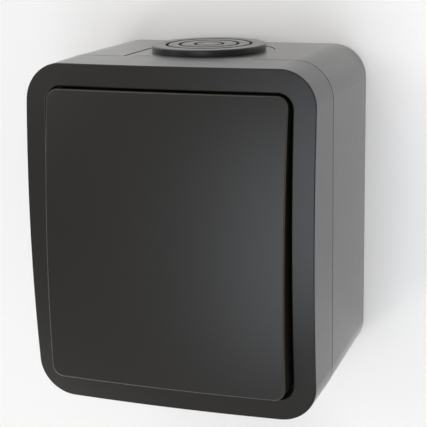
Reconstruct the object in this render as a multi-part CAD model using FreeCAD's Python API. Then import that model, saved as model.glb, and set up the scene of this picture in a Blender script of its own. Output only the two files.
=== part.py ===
import FreeCAD, Part
import math
import os

from FreeCAD import Vector

# Surface-mounted weatherproof rocker switch. Lengths are millimetres and angles are degrees.
# The origin is the middle of the back face, +X is right, +Z is up and the front faces -Y.
# A depth is measured from the wall towards the front, so depth d lies at Y = -d.

# How far a cutter reaches past a face, and how closely an edge is matched
over = 1.0
match_tolerance = 0.01

# Housing outline at the seam, where it is widest, and the drafts towards wall and front
seam_width = 75.5
seam_height = 88.1
seam_corner = 9.55
rear_draft = 0.4
front_draft = 0.25
seam_chamfer = 0.2

# Crowned front of the cover
crown_depth = 57.4
cover_depth = 18.8
crown_centre_z = -2.1
crown_radius_vertical = 333.0
crown_radius_level = 455.0
frame_bar = 5.58
frame_outer_round = 0.3
frame_inner_round = 0.3
cover_wall = 2.2
frame_front_wall = 2.6

# Rear box walls and the sealed rim
box_wall = 2.6
back_wall = 2.4
rim_lip = 1.3
rim_depth = 2.4
rim_clearance = 0.1
seal_thickness = 1.0

# Recess that the rocker sinks into
recess_corner = 4.0
recess_sink = 9.9
recess_floor = 2.0
recess_wall = 1.5

# Window in the recess floor, its skirt and the collar of the switch insert
nominal_window_half_x = 16.0
nominal_window_half_z = 19.0
window_corner = 2.5
skirt_wall = 2.3
collar_clearance = 0.5
collar_wall = 1.8
collar_inner_corner = 0.45
collar_sink = 1.0
insert_seal_thickness = 2.0

# Wall fixing slots
nominal_slot_spacing_x = 34.0
nominal_slot_spacing_z = 66.0
slot_radius = 2.25
slot_length = 7.0

# Cover screws and their posts
nominal_post_x = 25.5
nominal_post_z = 31.5
post_radius = 3.4
post_split = 1.6
cover_screw_radius = 1.45
cover_screw_hole = 1.7
cover_screw_head = 2.8
cover_screw_head_height = 1.7
cover_screw_bite = 12.0
screw_seal_thickness = 0.8
head_clearance = 0.2
pilot_clearance = 0.05
pilot_spare = 2.0

# Insert fixing
ear_reach = 9.0
ear_half_height = 5.0
ear_thickness = 3.0
ear_set_back = 3.0
nominal_ear_hole_x = 26.5
insert_post_radius = 3.2
insert_screw_radius = 1.45
insert_screw_hole = 1.7
insert_screw_head = 2.7
insert_screw_head_height = 1.8
insert_screw_bite = 11.0
screw_head_round = 0.4
driver_slot_width = 0.8
driver_slot_depth = 0.9

# Cable entry on the top wall
notch_rear_margin = 4.2
notch_ledge = 1.0
plate_recess = 0.2
plate_flange = 1.1
plate_clearance = 0.15
plate_inner_overlap = 1.0
plate_inner_flange = 1.3
plate_under_clearance = 0.05
grommet_front_margin = 2.0
grommet_border = 2.2
grommet_flange = 1.9
grommet_edge_round = 0.35
grommet_neck_step = 2.1
grommet_neck_clearance = 0.05
grommet_lip = 1.3
grommet_lip_height = 1.5
grommet_lip_land = 0.5
grommet_hollow_step = 3.2
grommet_membrane = 1.7
ring_shares = (0.245, 0.51, 0.735)
ring_width = 0.7
ring_depth = 0.9

# Switch base
nominal_wiring_space = 9.6
nominal_base_half_x = 21.0
nominal_base_half_z = 22.0
insert_gap_x = 4.75
insert_gap_z = 19.05
cap_to_floor = 15.0
base_corner = 2.0
nominal_base_depth = 18.0
nominal_base_floor = 3.2
nominal_chamber_half_x = 6.5
chamber_half_z = 13.0
nominal_pocket_inner_x = 8.0
nominal_pocket_outer_x = 19.5
pocket_half_z = 5.0
pocket_centre_z = 8.5
nominal_wire_hole = 1.6
nominal_wire_hole_x = 17.0
strip_clearance = 0.1

# Contacts and the rocking contact arm
strip_thickness = 1.4
strip_half_width = 4.0
nominal_strip_outer_x = 19.0
arm_pivot_rise = 4.8
arm_pivot_radius = 1.0
arm_pivot_clearance = 0.05
arm_pivot_to_back = 0.3
arm_thickness = 1.2
arm_half_width = 2.5
arm_half_length = 10.4
arm_tilt = 8.0
contact_reach = 8.5
contact_radius = 1.6
contact_thickness = 0.8
contact_closed_gap = 0.05
contact_pad_margin = 0.7
cradle_half_z = 2.2
cradle_top_drop = 0.4

# Terminal screws and clamping plates
nominal_terminal_screw_x = 13.0
terminal_screw_radius = 1.7
terminal_hole_clearance = 0.05
wire_gap = 1.9
nominal_clamp_half = 3.7
clamp_thickness = 1.2
terminal_head_radius = 3.0
terminal_head_height = 2.2
driver_access = 3.3

# Switch cap
nominal_cap_plate = 2.5
bearing_half_z = 4.2
bearing_cover = 1.9
plunger_slot_half_x = 4.4
plunger_slot_half_z = 5.6
nominal_rivet_x = 18.2
nominal_rivet_z = 19.2
rivet_radius = 1.2
rivet_clearance = 0.05
rivet_head = 2.0
rivet_head_height = 0.7

# Rocker carrier
pivot_sink = 3.0
trunnion_radius = 2.0
trunnion_clearance = 0.06
trunnion_end_play = 0.2
carrier_side_play = 0.8
carrier_half_z = 7.0
carrier_rear = 4.5
carrier_front = 2.5
neck_half_x = 9.0
neck_half_z = 6.0
neck_length = 9.0
tube_radius = 3.8
tube_rear_clearance = 5.5
bore_radius = 2.6
bore_end = 3.0

# Toggle plunger and spring
plunger_clearance = 0.06
plunger_nose_radius = 1.5
plunger_nose_length = 5.0
plunger_body_length = 5.0
plunger_spigot_radius = 1.2
plunger_spigot_length = 2.0
plunger_mid_gap = 0.06
spring_radius = 1.95
spring_wire_radius = 0.25
spring_pitch = 1.13

# Rocker cap. It is pressed in at the top, as half of its travel each way from level.
rocker_tilt = 3.15
rocker_gap = 0.76
rocker_height_gap = 1.08
rocker_corner = 2.9
rocker_rise = 3.25
rocker_floor_gap = 2.5
rocker_skin = 2.0
rocker_side_wall = 1.7
rocker_edge_round = 0.45
clip_gap = 0.15
clip_thickness = 1.45
clip_half_z = 4.0
clip_hook = 0.8
clip_hook_height = 1.3
clip_end_gap = 0.15
rib_thickness = 1.4
rib_height = 3.0
rib_x = 20.0

# Sealing boot round the neck of the carrier
boot_flange = 3.0
boot_flange_thickness = 1.0
boot_clearance = 0.6
boot_wall = 0.8
boot_height = 2.2
boot_skin = 0.6
boot_neck_clearance = 0.1

# Protective earth terminal
nominal_earth_centre_z = -32.0
earth_length = 12.0
earth_height = 8.0
earth_depth = 8.0
earth_pedestal = 3.6
earth_cheek = 1.5
earth_cheek_rise = 6.0
earth_clearance = 0.1
earth_hole_x = 3.2
earth_wire_hole = 1.6
earth_screw_radius = 1.5
earth_screw_clearance = 0.05
earth_head_radius = 2.1
earth_head_height = 1.6

# Sizes and places worked out from the values above
seam_depth = crown_depth - cover_depth
seam_half_x = seam_width / 2
seam_half_z = seam_height / 2
face_half_x = seam_half_x - front_draft
face_half_z = seam_half_z - front_draft
face_corner = seam_corner - front_draft
cavity_inset = rear_draft + box_wall
cavity_half_x = seam_half_x - cavity_inset
cavity_half_z = seam_half_z - cavity_inset
cavity_corner = seam_corner - cavity_inset
recess_half_x = face_half_x - frame_bar
recess_half_z = face_half_z - frame_bar
floor_front = crown_depth - recess_sink
floor_rear = floor_front - recess_floor

# The inner pieces have their nominal sizes where these fill the cavity, and else follow it
cap_front = floor_front - cap_to_floor
width_ratio = cavity_half_x / (nominal_base_half_x + ear_reach + insert_gap_x)
height_ratio = cavity_half_z / (nominal_base_half_z + insert_gap_z)
depth_ratio = (cap_front - back_wall) / (nominal_wiring_space + nominal_base_depth + nominal_cap_plate)
window_half_x = nominal_window_half_x * width_ratio
window_half_z = nominal_window_half_z * height_ratio
slot_spacing_x = nominal_slot_spacing_x * width_ratio
slot_spacing_z = nominal_slot_spacing_z * height_ratio
post_x = nominal_post_x * width_ratio
post_z = nominal_post_z * height_ratio
ear_hole_x = nominal_ear_hole_x * width_ratio
base_half_x = nominal_base_half_x * width_ratio
base_half_z = nominal_base_half_z * height_ratio
chamber_half_x = nominal_chamber_half_x * width_ratio
pocket_inner_x = nominal_pocket_inner_x * width_ratio
pocket_outer_x = nominal_pocket_outer_x * width_ratio
wire_hole = nominal_wire_hole * width_ratio
wire_hole_x = nominal_wire_hole_x * width_ratio
strip_outer_x = nominal_strip_outer_x * width_ratio
terminal_screw_x = nominal_terminal_screw_x * width_ratio
clamp_half = nominal_clamp_half * width_ratio
rivet_x = nominal_rivet_x * width_ratio
rivet_z = nominal_rivet_z * height_ratio
earth_centre_z = nominal_earth_centre_z * height_ratio
wiring_space = nominal_wiring_space * depth_ratio
base_floor = nominal_base_floor * depth_ratio
cap_plate = nominal_cap_plate * depth_ratio

# Places in depth and sizes of the mating pieces
post_joint = seam_depth - post_split
base_rear = back_wall + wiring_space
base_front = cap_front - cap_plate
strip_rear = base_rear + base_floor
strip_front = strip_rear + strip_thickness
arm_pivot = strip_rear + arm_pivot_rise
arm_front = arm_pivot + arm_pivot_to_back + arm_thickness
skirt_rear = cap_front + insert_seal_thickness
collar_half_x = window_half_x - collar_clearance
collar_half_z = window_half_z - collar_clearance
collar_corner = window_corner - collar_clearance
collar_front = floor_front - collar_sink
rocker_pivot = floor_front - pivot_sink
ear_rear = base_front - ear_set_back - ear_thickness
ear_front = base_front - ear_set_back
plunger_centre_reach = rocker_pivot - arm_front - plunger_nose_radius - plunger_mid_gap
tube_rear = arm_front + tube_rear_clearance
rocker_half_x = recess_half_x - rocker_gap
rocker_half_z = recess_half_z - rocker_height_gap
rocker_rear = floor_front + rocker_floor_gap
neck_front = rocker_pivot + carrier_front + neck_length
grommet_radius = (seam_depth - grommet_front_margin - grommet_border - notch_rear_margin) / 2
grommet_neck = grommet_radius - grommet_neck_step
grommet_hollow = grommet_radius - grommet_hollow_step
notch_half = grommet_radius + grommet_border
notch_centre_depth = notch_rear_margin + notch_half
box_top_at_entry = seam_half_z - rear_draft * (1 - notch_centre_depth / seam_depth)
plate_top = box_top_at_entry - plate_recess
plate_step = plate_top - plate_flange
plate_bottom = cavity_half_z - plate_under_clearance - plate_inner_flange


def point(x, depth, z):
    """Return the place at x and z that lies at a depth from the wall."""
    return Vector(x, -depth, z)


def rounded_outline(half_x, half_z, corner, depth):
    """Return a closed wire, a rectangle with round corners in the plane at one depth."""
    flat_x = half_x - corner
    flat_z = half_z - corner
    bow = corner * math.sqrt(0.5)
    edges = []
    for side_x, side_z in ((1, 1), (-1, 1), (-1, -1), (1, -1)):
        across = point(side_x * half_x, depth, side_z * flat_z)
        along = point(side_x * flat_x, depth, side_z * half_z)
        middle = point(side_x * (flat_x + bow), depth, side_z * (flat_z + bow))
        start, end = (across, along) if side_x * side_z > 0 else (along, across)
        if edges:
            edges.append(Part.LineSegment(edges[-1].Vertexes[-1].Point, start).toShape())
        edges.append(Part.Arc(start, middle, end).toShape())
    edges.append(Part.LineSegment(edges[-1].Vertexes[-1].Point, edges[0].Vertexes[0].Point).toShape())
    return Part.Wire(edges)


def rounded_prism(half_x, half_z, corner, depth_from, depth_to):
    """Return a prism with round corners between two depths."""
    outline = rounded_outline(half_x, half_z, corner, depth_from)
    return Part.Face(outline).extrude(Vector(0, depth_from - depth_to, 0))


def tapered_prism(half_x, half_z, corner, depth_from, depth_to, growth):
    """Return a prism whose outline grows by an even margin between two depths."""
    near = rounded_outline(half_x, half_z, corner, depth_from)
    far = rounded_outline(half_x + growth, half_z + growth, corner + growth, depth_to)
    return Part.makeLoft([near, far], True, True)


def block(x_from, x_to, depth_from, depth_to, z_from, z_to):
    """Return a box between two values on each axis."""
    size = (x_to - x_from, depth_to - depth_from, z_to - z_from)
    return Part.makeBox(size[0], size[1], size[2], point(x_from, depth_to, z_from))


def depth_cylinder(x, z, radius, depth_from, depth_to):
    """Return a cylinder whose axis points away from the wall."""
    return Part.makeCylinder(radius, depth_to - depth_from, point(x, depth_from, z), Vector(0, -1, 0))


def level_cylinder(depth, z, radius, x_from, x_to):
    """Return a cylinder whose axis runs along X."""
    return Part.makeCylinder(radius, x_to - x_from, point(x_from, depth, z), Vector(1, 0, 0))


def upright_cylinder(x, depth, radius, z_from, z_to):
    """Return a cylinder whose axis runs along Z."""
    return Part.makeCylinder(radius, z_to - z_from, point(x, depth, z_from), Vector(0, 0, 1))


def fused(first, *others):
    """Return one solid made of several that touch, with split faces joined again."""
    return first.multiFuse(list(others)).removeSplitter()


def mirrored_places(x, z):
    """Return the four places that mirror one across both middle planes."""
    return [(side_x * x, side_z * z) for side_x in (-1, 1) for side_z in (-1, 1)]


def crowned_block(depth):
    """Return a thick block whose front is the crown, an arc turned about a level axis."""
    reach_x = seam_width
    spread = math.degrees(math.asin(seam_height / crown_radius_vertical))
    rear = depth - seam_depth
    sag = crown_radius_level - math.sqrt(crown_radius_level ** 2 - reach_x ** 2)
    left = point(-reach_x, depth - sag, crown_centre_z)
    right = point(reach_x, depth - sag, crown_centre_z)
    arc = Part.Arc(left, point(0, depth, crown_centre_z), right).toShape()
    corners = [right, point(reach_x, rear, crown_centre_z), point(-reach_x, rear, crown_centre_z), left]
    profile = Part.Face(Part.Wire([arc] + Part.makePolygon(corners).Edges))
    axis_place = point(0, depth - crown_radius_vertical, crown_centre_z)
    profile.rotate(axis_place, Vector(1, 0, 0), -spread)
    return profile.revolve(axis_place, Vector(1, 0, 0), 2 * spread)


def outline_distance(place, half_x, half_z, corner):
    """Return how far a place lies outside a rectangle with round corners, below zero inside."""
    over_x = abs(place.x) - half_x + corner
    over_z = abs(place.z) - half_z + corner
    outside = math.hypot(max(over_x, 0), max(over_z, 0))
    return outside + min(max(over_x, over_z), 0) - corner


def front_rim(solid, half_x, half_z, corner, least_depth):
    """Return the edges of the front that follow an outline, leaving out those that run along Y."""
    chosen = []
    for edge in solid.Edges:
        box = edge.BoundBox
        middle = edge.valueAt((edge.FirstParameter + edge.LastParameter) / 2)
        follows = abs(outline_distance(middle, half_x, half_z, corner)) < front_draft
        if follows and -box.YMax > least_depth and box.YLength < max(box.XLength, box.ZLength):
            chosen.append(edge)
    return chosen


def tilted(shape):
    """Return a shape turned about the rocker's pivot to the position with the top pressed in."""
    turned = shape.copy()
    turned.rotate(point(0, rocker_pivot, 0), Vector(1, 0, 0), -rocker_tilt)
    return turned


def arm_turned(shape, angle):
    """Return a shape turned about the contact arm's pivot."""
    turned = shape.copy()
    turned.rotate(point(0, arm_pivot, 0), Vector(1, 0, 0), angle)
    return turned


def headed_screw(x, z, radius, end_depth, head_depth, head_radius, head_height):
    """Return a screw with a slotted round head that faces the front."""
    top = head_depth + head_height
    shank = depth_cylinder(x, z, radius, end_depth, head_depth)
    head = depth_cylinder(x, z, head_radius, head_depth, top)
    rim = [edge for edge in head.Edges if -edge.BoundBox.YMax > head_depth + head_height / 2]
    head = head.makeFillet(screw_head_round, rim)
    slot = block(x - head_radius, x + head_radius, top - driver_slot_depth, top,
                 z - driver_slot_width / 2, z + driver_slot_width / 2)
    return fused(shank, head).cut(slot)


def notch_prism(half, z_from, z_to, depth_to):
    """Return a U-shaped prism for the cable entry, round at the back and open towards the seam."""
    straight = block(-half, half, notch_centre_depth, depth_to, z_from, z_to)
    rear = block(-half, half, notch_centre_depth - half, notch_centre_depth, z_from, z_to)
    rear = rear.common(upright_cylinder(0, notch_centre_depth, half, z_from, z_to))
    return fused(straight, rear)


def rim_rebate():
    """Return the step that is cut from the inside of the rim for the seal and the cover's tongue."""
    lip = rounded_prism(seam_half_x - rim_lip, seam_half_z - rim_lip, seam_corner - rim_lip,
                        seam_depth - rim_depth, seam_depth + over)
    return lip.cut(rounded_prism(cavity_half_x, cavity_half_z, cavity_corner, 0, seam_depth + over))


def rear_box():
    """Return the box on the wall, with posts, slots, cable notch and sealed rim."""
    wall_half_x = seam_half_x - rear_draft
    wall_half_z = seam_half_z - rear_draft
    straight = seam_depth - seam_chamfer
    shell = tapered_prism(wall_half_x, wall_half_z, seam_corner - rear_draft, 0, straight, rear_draft)
    edge = tapered_prism(seam_half_x, seam_half_z, seam_corner, straight, seam_depth, -seam_chamfer)
    shell = shell.fuse(edge)
    cavity = rounded_prism(cavity_half_x, cavity_half_z, cavity_corner, back_wall, seam_depth + over)
    shell = shell.cut(cavity).cut(rim_rebate())
    posts = []
    pilots = []
    for x, z in mirrored_places(post_x, post_z):
        posts.append(depth_cylinder(x, z, post_radius, back_wall / 2, post_joint))
        pilot_end = post_joint - cover_screw_bite - pilot_spare
        pilots.append(depth_cylinder(x, z, cover_screw_radius + pilot_clearance, pilot_end,
                                     post_joint + over))
    for x in (-ear_hole_x, ear_hole_x):
        posts.append(depth_cylinder(x, 0, insert_post_radius, back_wall / 2, ear_rear))
        pilot_end = ear_rear - insert_screw_bite - pilot_spare
        pilots.append(depth_cylinder(x, 0, insert_screw_radius + pilot_clearance, pilot_end, ear_rear + over))
    shell = fused(shell, *posts, earth_cradle())
    for x, z in mirrored_places(slot_spacing_x / 2, slot_spacing_z / 2):
        shell = shell.cut(fixing_slot(x, z))
    shell = shell.cut(Part.makeCompound(pilots))
    outer = notch_prism(notch_half, plate_step - plate_clearance / 2, seam_half_z + over, seam_depth + over)
    inner = notch_prism(notch_half - notch_ledge, cavity_half_z - over, seam_half_z, seam_depth + over)
    return shell.cut(outer).cut(inner)


def fixing_slot(x, z):
    """Return the cutter of one slotted hole in the back wall."""
    reach = slot_length / 2 - slot_radius
    ends = [depth_cylinder(x + side * reach, z, slot_radius, -over, back_wall + over) for side in (-1, 1)]
    middle = block(x - reach, x + reach, -over, back_wall + over, z - slot_radius, z + slot_radius)
    return fused(middle, *ends)


def earth_cradle():
    """Return the pedestal and two cheeks that hold the earth terminal on the back wall."""
    half = earth_length / 2 + earth_clearance
    low = earth_centre_z - earth_height / 2
    high = earth_centre_z + earth_height / 2
    top = back_wall + earth_pedestal
    pedestal = block(-half, half, back_wall / 2, top, low, high)
    cheeks = []
    for side in (-1, 1):
        near, far = sorted((side * half, side * (half + earth_cheek)))
        cheeks.append(block(near, far, back_wall / 2, top + earth_cheek_rise, low, high))
    return fused(pedestal, *cheeks)


def entry_plate():
    """Return the U-shaped plate that slides into the notch and holds the grommet."""
    outer = notch_prism(notch_half - plate_clearance, plate_step, plate_top, seam_depth)
    neck_half = notch_half - notch_ledge - plate_clearance
    neck = notch_prism(neck_half, plate_bottom, plate_step, seam_depth)
    inner_half = notch_half - notch_ledge + plate_inner_overlap
    inner = notch_prism(inner_half, plate_bottom, plate_bottom + plate_inner_flange, seam_depth)
    hole = upright_cylinder(0, notch_centre_depth, grommet_neck, plate_bottom - over, plate_top + over)
    return fused(outer, neck, inner).cut(hole).cut(rim_rebate())


def entry_grommet():
    """Return the round rubber entry, a membrane with three ring grooves and a snap lip."""
    top = plate_top + grommet_flange
    neck = grommet_neck - grommet_neck_clearance
    lip = neck + grommet_lip
    lip_bottom = plate_bottom - grommet_lip_height
    under = top - grommet_membrane
    outline = [(0, under), (grommet_hollow, under), (grommet_hollow, lip_bottom), (neck, lip_bottom),
               (lip, plate_bottom - grommet_lip_land), (lip, plate_bottom), (neck, plate_bottom),
               (neck, plate_top), (grommet_radius, plate_top), (grommet_radius, top), (0, top)]
    places = [point(radius, notch_centre_depth, z) for radius, z in outline + outline[:1]]
    body = Part.Face(Part.makePolygon(places))
    body = body.revolve(point(0, notch_centre_depth, 0), Vector(0, 0, 1), 360)
    rim = [edge for edge in body.Edges
           if abs(edge.BoundBox.ZMin - top) < match_tolerance
           and edge.BoundBox.XMax > grommet_radius - match_tolerance]
    body = body.makeFillet(grommet_edge_round, rim)
    for share in ring_shares:
        radius = share * grommet_radius
        outer = upright_cylinder(0, notch_centre_depth, radius + ring_width / 2, top - ring_depth, top + over)
        inner = upright_cylinder(0, notch_centre_depth, radius - ring_width / 2, top - ring_depth, top + over)
        body = body.cut(outer.cut(inner))
    return body


def housing_seal():
    """Return the rubber ring on the shoulder of the rim."""
    shoulder = seam_depth - rim_depth
    margin = rim_lip + rim_clearance
    outer = rounded_prism(seam_half_x - margin, seam_half_z - margin, seam_corner - margin,
                          shoulder, shoulder + seal_thickness)
    inner = rounded_prism(cavity_half_x + rim_clearance, cavity_half_z + rim_clearance,
                          cavity_corner + rim_clearance, 0, seam_depth)
    return outer.cut(inner)


def front_cover():
    """Return the crowned cover with its recess, window, skirt, tongue and screw posts."""
    straight = seam_depth + seam_chamfer
    body = tapered_prism(seam_half_x, seam_half_z, seam_corner, straight, crown_depth + over, -front_draft)
    edge = tapered_prism(seam_half_x - seam_chamfer, seam_half_z - seam_chamfer, seam_corner - seam_chamfer,
                         seam_depth, straight, seam_chamfer)
    body = body.fuse(edge).common(crowned_block(crown_depth))
    body = body.removeSplitter()
    rim = front_rim(body, face_half_x, face_half_z, face_corner, rocker_rear)
    body = body.makeFillet(frame_outer_round, rim)
    pocket = rounded_prism(recess_half_x, recess_half_z, recess_corner, floor_front, crown_depth + over)
    body = body.cut(pocket)
    rim = front_rim(body, recess_half_x, recess_half_z, recess_corner, rocker_rear)
    body = body.makeFillet(frame_inner_round, rim)
    hollow_half_x = face_half_x - cover_wall
    hollow_half_z = face_half_z - cover_wall
    hollow_corner = face_corner - cover_wall
    corner_drop = face_half_z ** 2 / (2 * crown_radius_vertical) + face_half_x ** 2 / (2 * crown_radius_level)
    hollow_front = crown_depth - corner_drop - frame_front_wall
    hollow = rounded_prism(hollow_half_x, hollow_half_z, hollow_corner, seam_depth - over, hollow_front)
    cup = rounded_prism(recess_half_x + recess_wall, recess_half_z + recess_wall, recess_corner + recess_wall,
                        floor_rear, hollow_front + over)
    body = body.cut(hollow.cut(cup))
    tongue_end = seam_depth - rim_depth + seal_thickness
    margin = rim_lip + rim_clearance
    tongue = rounded_prism(seam_half_x - margin, seam_half_z - margin, seam_corner - margin,
                           tongue_end, seam_depth + over)
    tongue = tongue.cut(rounded_prism(hollow_half_x, hollow_half_z, hollow_corner, 0, seam_depth + over))
    skirt = rounded_prism(window_half_x + skirt_wall, window_half_z + skirt_wall, window_corner + skirt_wall,
                          skirt_rear, floor_rear + recess_floor / 2)
    posts = [depth_cylinder(x, z, post_radius, post_joint, floor_rear + recess_floor / 2)
             for x, z in mirrored_places(post_x, post_z)]
    body = fused(body, tongue, skirt, *posts)
    window = rounded_prism(window_half_x, window_half_z, window_corner, skirt_rear - over, floor_front + over)
    holes = [window]
    for x, z in mirrored_places(post_x, post_z):
        holes.append(depth_cylinder(x, z, cover_screw_hole, post_joint - over, floor_front + over))
        holes.append(depth_cylinder(x, z, cover_screw_head + head_clearance, cover_seat(),
                                    floor_front + over))
    return body.cut(Part.makeCompound(holes))


def cover_seat():
    """Return the depth of the seats under the cover screws' sealing washers."""
    return floor_front - cover_screw_head_height - screw_seal_thickness


def cover_screws():
    """Return the four screws that hold the cover, hidden under the rocker."""
    head_depth = cover_seat() + screw_seal_thickness
    end_depth = post_joint - cover_screw_bite
    screws = []
    for x, z in mirrored_places(post_x, post_z):
        screws.append(headed_screw(x, z, cover_screw_radius, end_depth, head_depth, cover_screw_head,
                                   cover_screw_head_height))
    return Part.makeCompound(screws)


def screw_seals():
    """Return the four rubber washers under the cover screws' heads."""
    seat = cover_seat()
    washers = []
    for x, z in mirrored_places(post_x, post_z):
        washer = depth_cylinder(x, z, cover_screw_head, seat, seat + screw_seal_thickness)
        bore = depth_cylinder(x, z, cover_screw_radius + pilot_clearance, seat - over,
                              seat + screw_seal_thickness + over)
        washers.append(washer.cut(bore))
    return Part.makeCompound(washers)


def insert_seal():
    """Return the rubber ring between the switch cap and the skirt of the cover."""
    outer = rounded_prism(window_half_x + skirt_wall, window_half_z + skirt_wall, window_corner + skirt_wall,
                          cap_front, skirt_rear)
    return outer.cut(rounded_prism(collar_half_x + rim_clearance, collar_half_z + rim_clearance,
                                   collar_corner + rim_clearance, cap_front - over, skirt_rear + over))


def terminal_places():
    """Return the side and the height of the common and the two switched terminals."""
    return [(-1, 0.0), (1, -pocket_centre_z), (1, pocket_centre_z)]


def switch_base():
    """Return the moulded base with its contact chamber, terminal pockets, ears and wire holes."""
    body = rounded_prism(base_half_x, base_half_z, base_corner, base_rear, base_front)
    reach = base_half_x + ear_reach
    ears = block(-reach, reach, ear_rear, ear_front, -ear_half_height, ear_half_height)
    body = fused(body, ears)
    body = body.cut(block(-chamber_half_x, chamber_half_x, strip_rear, base_front + over,
                          -chamber_half_z, chamber_half_z))
    for side, z in terminal_places():
        near, far = sorted((side * pocket_inner_x, side * pocket_outer_x))
        body = body.cut(block(near, far, strip_rear, base_front + over, z - pocket_half_z, z + pocket_half_z))
        near, far = sorted((0, side * pocket_outer_x))
        passage = strip_half_width + strip_clearance
        body = body.cut(block(near, far, strip_rear, strip_front + strip_clearance, z - passage, z + passage))
        body = body.cut(depth_cylinder(side * wire_hole_x, z, wire_hole, base_rear - over, strip_rear + over))
    for x in (-ear_hole_x, ear_hole_x):
        body = body.cut(depth_cylinder(x, 0, insert_screw_hole, ear_rear - over, ear_front + over))
    for x, z in mirrored_places(rivet_x, rivet_z):
        body = body.cut(depth_cylinder(x, z, rivet_radius + rivet_clearance, base_rear - over,
                                       base_front + over))
    return body


def switch_cap():
    """Return the cap over the base, with the collar and the two bearings of the carrier."""
    plate = rounded_prism(base_half_x, base_half_z, base_corner, base_front, cap_front)
    root = base_front + cap_plate / 2
    collar = rounded_prism(collar_half_x, collar_half_z, collar_corner, root, collar_front)
    bearing_top = rocker_pivot + trunnion_radius + bearing_cover
    bearings = block(-collar_half_x, collar_half_x, root, bearing_top, -bearing_half_z, bearing_half_z)
    body = fused(plate, collar, bearings)
    inner_x = collar_half_x - collar_wall
    inner_z = collar_half_z - collar_wall
    body = body.cut(rounded_prism(inner_x, inner_z, collar_inner_corner, cap_front, bearing_top + over))
    body = body.cut(level_cylinder(rocker_pivot, 0, trunnion_radius + trunnion_clearance,
                                   -collar_half_x - over, collar_half_x + over))
    body = body.cut(block(-plunger_slot_half_x, plunger_slot_half_x, base_front - over, cap_front + over,
                          -plunger_slot_half_z, plunger_slot_half_z))
    for side, z in terminal_places():
        body = body.cut(depth_cylinder(side * terminal_screw_x, z, driver_access / 2, base_front - over,
                                       cap_front + over))
    for x, z in mirrored_places(rivet_x, rivet_z):
        body = body.cut(depth_cylinder(x, z, rivet_radius + rivet_clearance, base_front - over,
                                       cap_front + over))
        body = body.cut(depth_cylinder(x, z, rivet_head + rivet_clearance, cap_front - rivet_head_height,
                                       cap_front + over))
    return body


def cap_rivets():
    """Return the four rivets that join the cap to the base, with their front heads sunk."""
    rivets = []
    for x, z in mirrored_places(rivet_x, rivet_z):
        shank = depth_cylinder(x, z, rivet_radius, base_rear, cap_front)
        rear = depth_cylinder(x, z, rivet_head, base_rear - rivet_head_height, base_rear)
        front = depth_cylinder(x, z, rivet_head, cap_front - rivet_head_height, cap_front)
        rivets.append(fused(shank, rear, front))
    return Part.makeCompound(rivets)


def insert_screws():
    """Return the two screws that fix the switch base to the posts of the box."""
    end_depth = ear_rear - insert_screw_bite
    screws = []
    for x in (-ear_hole_x, ear_hole_x):
        screws.append(headed_screw(x, 0, insert_screw_radius, end_depth, ear_front, insert_screw_head,
                                   insert_screw_head_height))
    return Part.makeCompound(screws)


def rocker_boot():
    """Return the thin sealing boot between the recess floor and the carrier's neck."""
    top = floor_front + boot_height
    under = top - boot_skin
    half_x = window_half_x + boot_clearance
    half_z = window_half_z + boot_clearance
    flange = rounded_prism(half_x + boot_flange, half_z + boot_flange, window_corner + boot_flange,
                           floor_front, floor_front + boot_flange_thickness)
    dome = rounded_prism(half_x + boot_wall, half_z + boot_wall, window_corner + boot_wall, floor_front, top)
    hollow = rounded_prism(half_x, half_z, window_corner, floor_front - over, under)
    slope = math.tan(math.radians(rocker_tilt))
    half_neck = neck_half_z / math.cos(math.radians(rocker_tilt)) + boot_neck_clearance
    half_hole = neck_half_x + boot_neck_clearance
    hole = block(-half_hole, half_hole, floor_front, top + over,
                 (under - rocker_pivot) * slope - half_neck, (top - rocker_pivot) * slope + half_neck)
    return fused(flange, dome).cut(hollow).cut(hole)


def rocker_carrier():
    """Return the rocking carrier with trunnions, neck and the guide tube of the plunger."""
    body_half_x = collar_half_x - collar_wall - carrier_side_play
    body = block(-body_half_x, body_half_x, rocker_pivot - carrier_rear, rocker_pivot + carrier_front,
                 -carrier_half_z, carrier_half_z)
    trunnion_end = collar_half_x - trunnion_end_play
    trunnions = level_cylinder(rocker_pivot, 0, trunnion_radius, -trunnion_end, trunnion_end)
    neck = block(-neck_half_x, neck_half_x, rocker_pivot, neck_front, -neck_half_z, neck_half_z)
    tube = depth_cylinder(0, 0, tube_radius, tube_rear, rocker_pivot)
    body = fused(body, trunnions, neck, tube)
    body = body.cut(depth_cylinder(0, 0, bore_radius, tube_rear - over, rocker_pivot - bore_end))
    hook_rear, hook_front = hook_depths()
    for side in (-1, 1):
        near, far = sorted((side * (neck_half_x - clip_hook - clip_end_gap), side * (neck_half_x + over)))
        body = body.cut(block(near, far, hook_rear - clip_end_gap, hook_front + clip_end_gap,
                              -neck_half_z - over, neck_half_z + over))
    return tilted(body)


def hook_depths():
    """Return the depths of the rear and front faces of the rocker's two hooks."""
    rear = floor_front + boot_height + boot_clearance + clip_half_z * math.tan(math.radians(rocker_tilt))
    return rear, rear + clip_hook_height


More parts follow.
